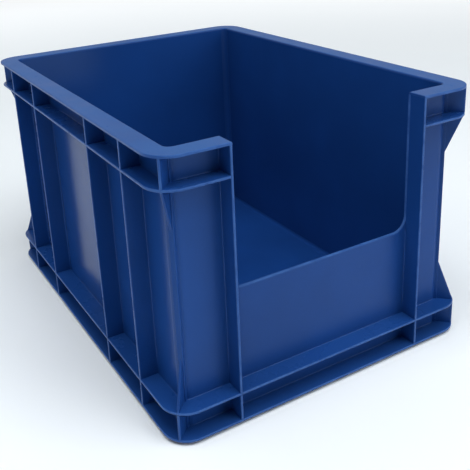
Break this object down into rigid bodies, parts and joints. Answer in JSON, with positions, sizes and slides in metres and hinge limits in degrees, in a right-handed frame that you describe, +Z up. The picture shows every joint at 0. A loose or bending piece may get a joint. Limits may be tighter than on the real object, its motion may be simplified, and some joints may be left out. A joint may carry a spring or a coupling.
{
  "type": "stackable storage bin",
  "caption": "Open-fronted stackable storage bin in ribbed blue plastic, with a flat rim, two flange bands, a picking opening above a low front sill and an inset stacking foot.",
  "frame": {"origin": "middle of the footprint, on the ground under the stacking foot", "axes": "+Z up; the open picking front faces -Y, the closed back +Y, and +X is the bin's right side seen from the front"},
  "size_m": [0.3, 0.4, 0.235],
  "materials": {
    "bin_plastic": "satin injection-moulded polypropylene"
  },
  "bodies": {
    "root": {"back_left_corner": "bin_plastic", "back_right_corner": "bin_plastic", "back_wall": "bin_plastic", "base_flange": "bin_plastic", "floor_cove": "bin_plastic", "floor_plate": "bin_plastic", "front_left_corner": "bin_plastic", "front_left_panel": "bin_plastic", "front_right_corner": "bin_plastic", "front_right_panel": "bin_plastic", "front_sill": "bin_plastic", "left_back_rib": "bin_plastic", "left_opening_rib": "bin_plastic", "left_rib_1": "bin_plastic", "left_rib_2": "bin_plastic", "left_rib_3": "bin_plastic", "left_rib_4": "bin_plastic", "left_wall": "bin_plastic", "lower_flange": "bin_plastic", "right_back_rib": "bin_plastic", "right_opening_rib": "bin_plastic", "right_rib_1": "bin_plastic", "right_rib_2": "bin_plastic", "right_rib_3": "bin_plastic", "right_rib_4": "bin_plastic", "right_wall": "bin_plastic", "stacking_foot": "bin_plastic", "top_rim": "bin_plastic", "upper_flange": "bin_plastic"}
  },
  "joints": []
}
